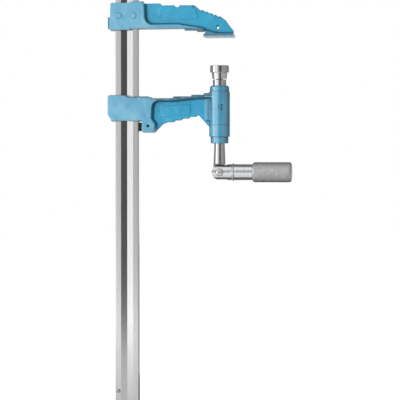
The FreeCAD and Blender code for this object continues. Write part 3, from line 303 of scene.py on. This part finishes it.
def add_stage():
    floor = plane("floor", flat(half_width=6, near=-6, far=6, level=-0.60))
    floor.data.materials.append(stage_material("floor", 0.7, glow=0.75, shine=0.3))
    dark_card("dark_card", upright(first=3, last=30, distance=1.6, foot=-1.2, top=0.9), grey=0.17)
    dark_card("under_card", flat(half_width=1.5, near=-0.09, far=0.5, level=-0.565), grey=0.25)
    area_light("soft_box", azimuth=-46, distance=1.6, height=-0.16, width=1.85, tall=2.25, power=11.5)
    area_light("strip", azimuth=-63, distance=1.6, height=-0.16, width=0.4, tall=2.0, power=4)
    area_light("fill", azimuth=-28, distance=2.0, height=0.1, width=1.2, tall=1.2, power=19, glossy=False)
    add_world()


# Materials

def new_material(name):
    """A new material, its nodes and its Principled shader."""
    material = bpy.data.materials.new(name)
    material.use_nodes = True
    tree = material.node_tree
    surface = tree.nodes["Principled BSDF"]
    return material, tree, surface


def steep_walls(tree):
    """1 on the walls that run into the casting's depth, 0 on the faces that look to the front or the back."""
    shape = tree.nodes.new("ShaderNodeNewGeometry")
    split = tree.nodes.new("ShaderNodeSeparateXYZ")
    tree.links.new(shape.outputs["Normal"], split.inputs[0])
    return remap(tree, maths(tree, "ABSOLUTE", split.outputs["Y"]), 0.9, 0.6, 0, 1)


# The sliding arm's top edge, as (x, z) in millimetres
ARM_TOP = ((-140, -83.5), (-138.5, -83.5), (-132.5, -85.5), (-107, -85.5),
           (-99, -88.2), (-69, -88.2), (-28, -84.8), (-15, -84.8))


def painted_shadow_under_arm_top(tree):
    """A painted shadow: a ragged dark line just under the arm's top edge, where the flange's underside is in
    shade.
    """
    across = object_axis(tree, "X")
    edge = curve_through(tree, across, [(x * MM, z * MM) for x, z in ARM_TOP])
    drop = maths(tree, "SUBTRACT", edge, object_axis(tree, "Z"))
    line = times(tree, between(tree, drop, 1.6 * MM, 2.9 * MM, 0.6 * MM),
                 between(tree, across, -139 * MM, -22 * MM, 2 * MM))
    return times(tree, line, remap(tree, noise(tree, 190, 4), 0.36, 0.52, 0.3, 1))


# The turned line round the boss lies this far below the top of the lock screw
SEAM_DROP = 30.4 * MM


def boss_seam(tree):
    """The dark line round the boss, which stops at the web."""
    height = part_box("nut_lock_screw")[1].z - SEAM_DROP
    half_width = 0.3 * MM
    line = between(tree, object_axis(tree, "Z"), height - half_width, height + half_width, 0.4 * MM)
    return times(tree, line, remap(tree, object_axis(tree, "X"), -16.5 * MM, -15 * MM, 0, 0.8))


def paint_colour(tree, depth, outer):
    """Dusty outer faces whose lighter, greyer base is partly a painted sheen, a clean web, painted shade in
    the corners, on the steep walls and on the set-back crest, painted shadows under the jaw's web and the
    arm's top edge, a dark turned line round the boss and bare metal on the jaw's face.
    """
    tone = remap(tree, noise(tree, 45, 4), 0.3, 0.7, 0, 1)
    height = object_axis(tree, "Z")
    web = blend_colour(tree, tone, (0.004, 0.255, 0.44), (0.008, 0.32, 0.52))
    # The outer faces' lighter, greyer base is partly a painted sheen for the extra light these raised faces
    # catch; the dust blended over it is real.
    face = blend_colour(tree, tone, (0.025, 0.255, 0.42), (0.05, 0.32, 0.49))
    dust = remap(tree, noise(tree, 24, 3), 0.52, 0.72, 0, 0.5)
    face = blend_colour(tree, dust, face, (0.16, 0.42, 0.55))
    colour = blend_colour(tree, outer, web, face)
    # Painted shade on the set-back crest behind the flange's front, between 6 and 8.8 mm deep.
    shaded_shelf = times(tree, between(tree, depth, 6 * MM, 8.8 * MM, 0.6 * MM), 0.55)
    colour = blend_colour(tree, shaded_shelf, colour, (0.004, 0.09, 0.16))
    # Painted shadow: a dark band low on the fixed jaw, where its web meets the pad.
    shadow_under_web = times(tree, between(tree, height, 2.6 * MM, 6.4 * MM, 1.6 * MM), 0.7)
    colour = blend_colour(tree, shadow_under_web, colour, (0.005, 0.06, 0.1))
    worn = times(tree, between(tree, height, -1 * MM, 1.2 * MM, 1.2 * MM),
                 remap(tree, noise(tree, 120, 4), 0.35, 0.6, 0.35, 0.85))
    colour = blend_colour(tree, worn, colour, (0.36, 0.41, 0.43))
    colour = blend_colour(tree, boss_seam(tree), colour, (0.003, 0.04, 0.07))
    # Painted shadow in a ragged line under the arm's top flange.
    colour = blend_colour(tree, painted_shadow_under_arm_top(tree), colour, (0.002, 0.03, 0.055))
    # Painted shade: darker paint in the corners and recesses.
    colour = blend_colour(tree, painted_corner_shade(tree, 6 * MM, 0.45, 0.8), (0.003, 0.035, 0.065), colour)
    # Painted shade on the steep walls deep in the recesses.
    sunken_shade = maths(tree, "SUBTRACT", 1, painted_corner_shade(tree, 18 * MM, 0.75, 0.95))
    colour = blend_colour(tree, times(tree, sunken_shade, steep_walls(tree)), colour, (0.002, 0.012, 0.03))
    # Painted shade in tight corners.
    return blend_colour(tree, painted_corner_shade(tree, 1.5 * MM, 0.5, 0.95), (0.002, 0.025, 0.045), colour)


def paint():
    """Blue enamel over a cast surface: glossier on the outer faces than in the web."""
    material, tree, surface = new_material("blue_paint")
    depth = object_axis(tree, "Y", absolute=True)
    outer = remap(tree, depth, 5.5 * MM, 7.5 * MM, 0, 1)
    tree.links.new(paint_colour(tree, depth, outer), surface.inputs["Base Color"])
    tree.links.new(remap(tree, noise(tree, 160, 3), 0.3, 0.7, 0.3, 0.42), surface.inputs["Roughness"])
    tree.links.new(remap(tree, outer, 0, 1, 0.25, 1), surface.inputs["Coat Weight"])
    surface.inputs["Coat Roughness"].default_value = 0.2
    surface.inputs["Coat IOR"].default_value = 2.0
    surface.inputs["IOR"].default_value = 1.45
    skin = bump(tree, noise(tree, 900, 4, rough=0.6), 0.1 * MM)
    waves = bump(tree, noise(tree, 70, 2), 0.7 * MM, skin)
    tree.links.new(waves, surface.inputs["Normal"])
    tree.links.new(waves, surface.inputs["Coat Normal"])
    return material


def steel(name, light, dark, rough, grain=(1, 1, 1), scale=400, depth=0.02 * MM, spread=0.05):
    """Bare steel with fine tool marks along one way, with rounded edges and painted shade in its corners."""
    material, tree, surface = new_material(name)
    tone = remap(tree, noise(tree, scale, 4, grain), 0.3, 0.7, 0, 1)
    colour = blend_colour(tree, tone, dark, light)
    # Painted shade: darker in the corners.
    colour = blend_colour(tree, painted_corner_shade(tree, 4 * MM, 0.1, 0.75), (0.02, 0.02, 0.02), colour)
    tree.links.new(colour, surface.inputs["Base Color"])
    surface.inputs["Metallic"].default_value = 1
    tree.links.new(remap(tree, noise(tree, scale, 3, grain), 0.3, 0.7, rough - spread, rough + spread),
                   surface.inputs["Roughness"])
    marks = bump(tree, noise(tree, 3 * scale, 2, grain), depth, soft_edges(tree, 0.4 * MM))
    tree.links.new(marks, surface.inputs["Normal"])
    return material


ALONG_BAR = (1, 1, 0.05)
AROUND_SPINDLE = (0.1, 0.1, 1)
AROUND_HANDLE = (1, 0.1, 0.1)

blue_paint = paint()
bar_steel = steel("bar_steel", light=(0.60, 0.60, 0.60), dark=(0.55, 0.55, 0.55), rough=0.18, grain=ALONG_BAR,
                  scale=700, depth=0.003 * MM, spread=0.005)
spindle_steel = steel("spindle_steel", light=(0.60, 0.60, 0.60), dark=(0.53, 0.53, 0.53), rough=0.12,
                      grain=AROUND_SPINDLE, scale=600)
handle_steel = steel("handle_steel", light=(0.80, 0.81, 0.82), dark=(0.70, 0.71, 0.72), rough=0.2,
                     grain=AROUND_HANDLE, scale=500)
grip_steel = steel("grip_steel", light=(0.62, 0.62, 0.63), dark=(0.46, 0.46, 0.47), rough=0.45,
                   scale=260, depth=0.03 * MM)
dark_steel = steel("dark_steel", light=(0.045, 0.05, 0.05), dark=(0.02, 0.025, 0.025), rough=0.5,
                   scale=300, depth=0.05 * MM)
spring_steel = steel("spring_steel", light=(0.45, 0.44, 0.42), dark=(0.30, 0.30, 0.29), rough=0.3)


def dress(material, *names):
    """Gives the named solids the material."""
    for name in names:
        slots = nodes[name].data.materials
        for index in range(len(slots)):
            slots[index] = material
        if not len(slots):
            slots.append(material)


dress(blue_paint, "fixed_jaw", "sliding_arm", "spindle_nut", "nut_lock_screw",
      "jaw_rivet_left", "jaw_rivet_right")
dress(bar_steel, "bar", "end_stop_pin")
dress(spindle_steel, "spindle", "pressure_pad")
dress(handle_steel, "handle_fork", "handle_ring", "handle_shaft", "handle_pivot_pin")
dress(grip_steel, "handle_grip")
dress(dark_steel, "brake_shoe", "brake_pin")
dress(spring_steel, "brake_spring", "detent_spring", "detent_ball", "pivot_washer_front", "pivot_washer_back",
      "pad_snap_ring")


# Castings with rounded edges

def notches(places, reach, radius):
    """Small hollows bitten out of both faces of a web: their places, reach and radius are in millimetres."""
    form = bmesh.new()
    for x, z in places:
        for side in (-reach, reach):
            at = Matrix.Translation((x * MM, side * MM, z * MM))
            bmesh.ops.create_icosphere(form, subdivisions=2, radius=radius * MM, matrix=at)
    return form


def brake_room():
    """The shoe's slot, cut wide enough that its rounded corners stay clear of the shoe over its travel."""
    low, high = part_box("brake_shoe")
    start, end, side = 0.2 * MM, 1.7 * MM, 0.8 * MM
    form = bmesh.new()
    bmesh.ops.create_cube(form, size=1)
    for vert in form.verts:
        vert.co.x = low.x - start if vert.co.x < 0 else high.x + end
        vert.co.y = low.y - side if vert.co.y < 0 else high.y + side
        vert.co.z = low.z - side if vert.co.z < 0 else high.z + side
    return form


def cut_out(piece, form):
    """Cuts the form out of the piece; what it returns goes once the modifiers are applied."""
    mesh = bpy.data.meshes.new("cutter")
    form.to_mesh(mesh)
    form.free()
    cutter = bpy.data.objects.new("cutter", mesh)
    bpy.context.scene.collection.objects.link(cutter)
    cut = piece.modifiers.new("cutter", "BOOLEAN")
    cut.operation = "DIFFERENCE"
    cut.solver = "EXACT"
    cut.object = cutter
    return cutter


CAST_VOXEL = 0.5 * MM
CAST_ROUNDS = 4


def cast_copy(node, body, name, cuts):
    """A copy of a casting whose edges and corners are rounded, as sand casting leaves them."""
    mesh = nodes[node].data.copy()
    mesh.name = name
    form = bmesh.new()
    form.from_mesh(mesh)
    bmesh.ops.remove_doubles(form, verts=form.verts, dist=0.01 * MM)
    form.to_mesh(mesh)
    form.free()
    piece = bpy.data.objects.new(name, mesh)
    bpy.context.scene.collection.objects.link(piece)
    cutter = cut_out(piece, cuts)
    remesh = piece.modifiers.new("remesh", "REMESH")
    remesh.mode = "VOXEL"
    remesh.voxel_size = CAST_VOXEL
    smooth = piece.modifiers.new("smooth", "SMOOTH")
    smooth.factor = 0.5
    smooth.iterations = CAST_ROUNDS
    bpy.context.view_layer.update()
    result = bpy.data.meshes.new_from_object(piece.evaluated_get(bpy.context.evaluated_depsgraph_get()))
    piece.modifiers.clear()
    piece.data = result
    bpy.data.objects.remove(cutter)
    result.name = name
    for polygon in result.polygons:
        polygon.use_smooth = True
    result.materials.clear()
    result.materials.append(blue_paint)
    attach(piece, body)
    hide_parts(node)


# Places of the hollows on the jaw's edges, as (x, z) in millimetres: one at each tooth, then the lone ones
TOOTH_RUN, TOOTH_FALL = 6.4, 2.4
JAW_NOTCHES = [(-23.1 + TOOTH_RUN * tooth, 39.6 - TOOTH_FALL * tooth) for tooth in range(5)]
JAW_NOTCHES += [(-56.3, 48.8), (-38.4, 46.8), (-1.8, 16.0)]

cast_copy("fixed_jaw", "bar", "fixed_jaw_cast", notches(JAW_NOTCHES, reach=4.5, radius=1.9))
cast_copy("sliding_arm", "arm", "sliding_arm_cast", brake_room())


# Brake spring

def pressed_spring():
    """A copy of the brake spring that the arm carries in place of the imported one."""
    piece = bpy.data.objects.new("brake_spring_coil", nodes["brake_spring"].data.copy())
    bpy.context.scene.collection.objects.link(piece)
    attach(piece, "arm")
    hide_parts("brake_spring")
    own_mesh(piece)


pressed_spring()


# Knurled grip

GRIP_EDGE = 3 * MM
GRIP_BORE = 9.1 * MM
GRIP_WALL = 6 * MM
KNURL_TEETH = 40
KNURL_PITCH = 2.4 * MM
KNURL_DEPTH = 0.45 * MM
KNURL_RINGS = 96
POINTS_AROUND = 4 * KNURL_TEETH


def triangle(turns):
    """A wave from 0 to 1 and back in one turn."""
    return 1 - abs(2 * (turns % 1) - 1)


def knurl_cut(along, turn):
    """Depth of the crossed grooves at a distance along the grip and a share of a turn about it."""
    height = min(triangle(turn * KNURL_TEETH + along / KNURL_PITCH),
                 triangle(turn * KNURL_TEETH - along / KNURL_PITCH))
    return KNURL_DEPTH * (1 - height)


def grip_rings(start, end, radius):
    """Rings of the grip as (place, radius), from the bore's mouth over the outside to the bore's end."""
    rings = [(start, GRIP_BORE), (start, radius - GRIP_EDGE), (start + GRIP_EDGE / 3, radius - GRIP_EDGE / 3)]
    knurled = end - start - 2 * GRIP_EDGE
    for step in range(KNURL_RINGS + 1):
        rings.append((start + GRIP_EDGE + knurled * step / KNURL_RINGS, radius))
    rings += [(end - GRIP_EDGE / 3, radius - GRIP_EDGE / 3), (end, radius - GRIP_EDGE)]
    rings.append((end - GRIP_WALL, GRIP_BORE))
    return rings


def grip_mesh(start, end, middle, radius):
    """The grip's sleeve with crossed knurling cut into it, closed at its outer end."""
    rings = grip_rings(start, end, radius)
    points = []
    for place, reach in rings:
        for step in range(POINTS_AROUND):
            turn = step / POINTS_AROUND
            angle = math.tau * turn
            cut = knurl_cut(place - start, turn) if reach == radius else 0
            points.append((place, (reach - cut) * math.cos(angle), middle + (reach - cut) * math.sin(angle)))
    well = len(rings) - 1
    outer_end = well - 1
    bands = [(ring, ring + 1) for ring in range(outer_end)] + [(well, 0)]
    faces = []
    for first, second in bands:
        for step in range(POINTS_AROUND):
            after = (step + 1) % POINTS_AROUND
            faces.append((first * POINTS_AROUND + step, second * POINTS_AROUND + step,
                          second * POINTS_AROUND + after, first * POINTS_AROUND + after))
    for ring in (outer_end, well):
        faces.append(tuple(ring * POINTS_AROUND + step for step in range(POINTS_AROUND)))
    mesh = bpy.data.meshes.new("grip_knurl")
    mesh.from_pydata(points, [], faces)
    form = bmesh.new()
    form.from_mesh(mesh)
    bmesh.ops.recalc_face_normals(form, faces=form.faces)
    form.to_mesh(mesh)
    form.free()
    return mesh


def knurled_grip():
    low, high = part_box("handle_grip")
    mesh = grip_mesh(low.x, high.x, (low.z + high.z) / 2, (high.z - low.z) / 2)
    mesh.materials.append(grip_steel)
    piece = bpy.data.objects.new("grip_knurl", mesh)
    bpy.context.scene.collection.objects.link(piece)
    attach(piece, "handle")
    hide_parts("handle_grip")


knurled_grip()

add_camera()
add_stage()
bpy.context.scene.view_settings.view_transform = "Standard"
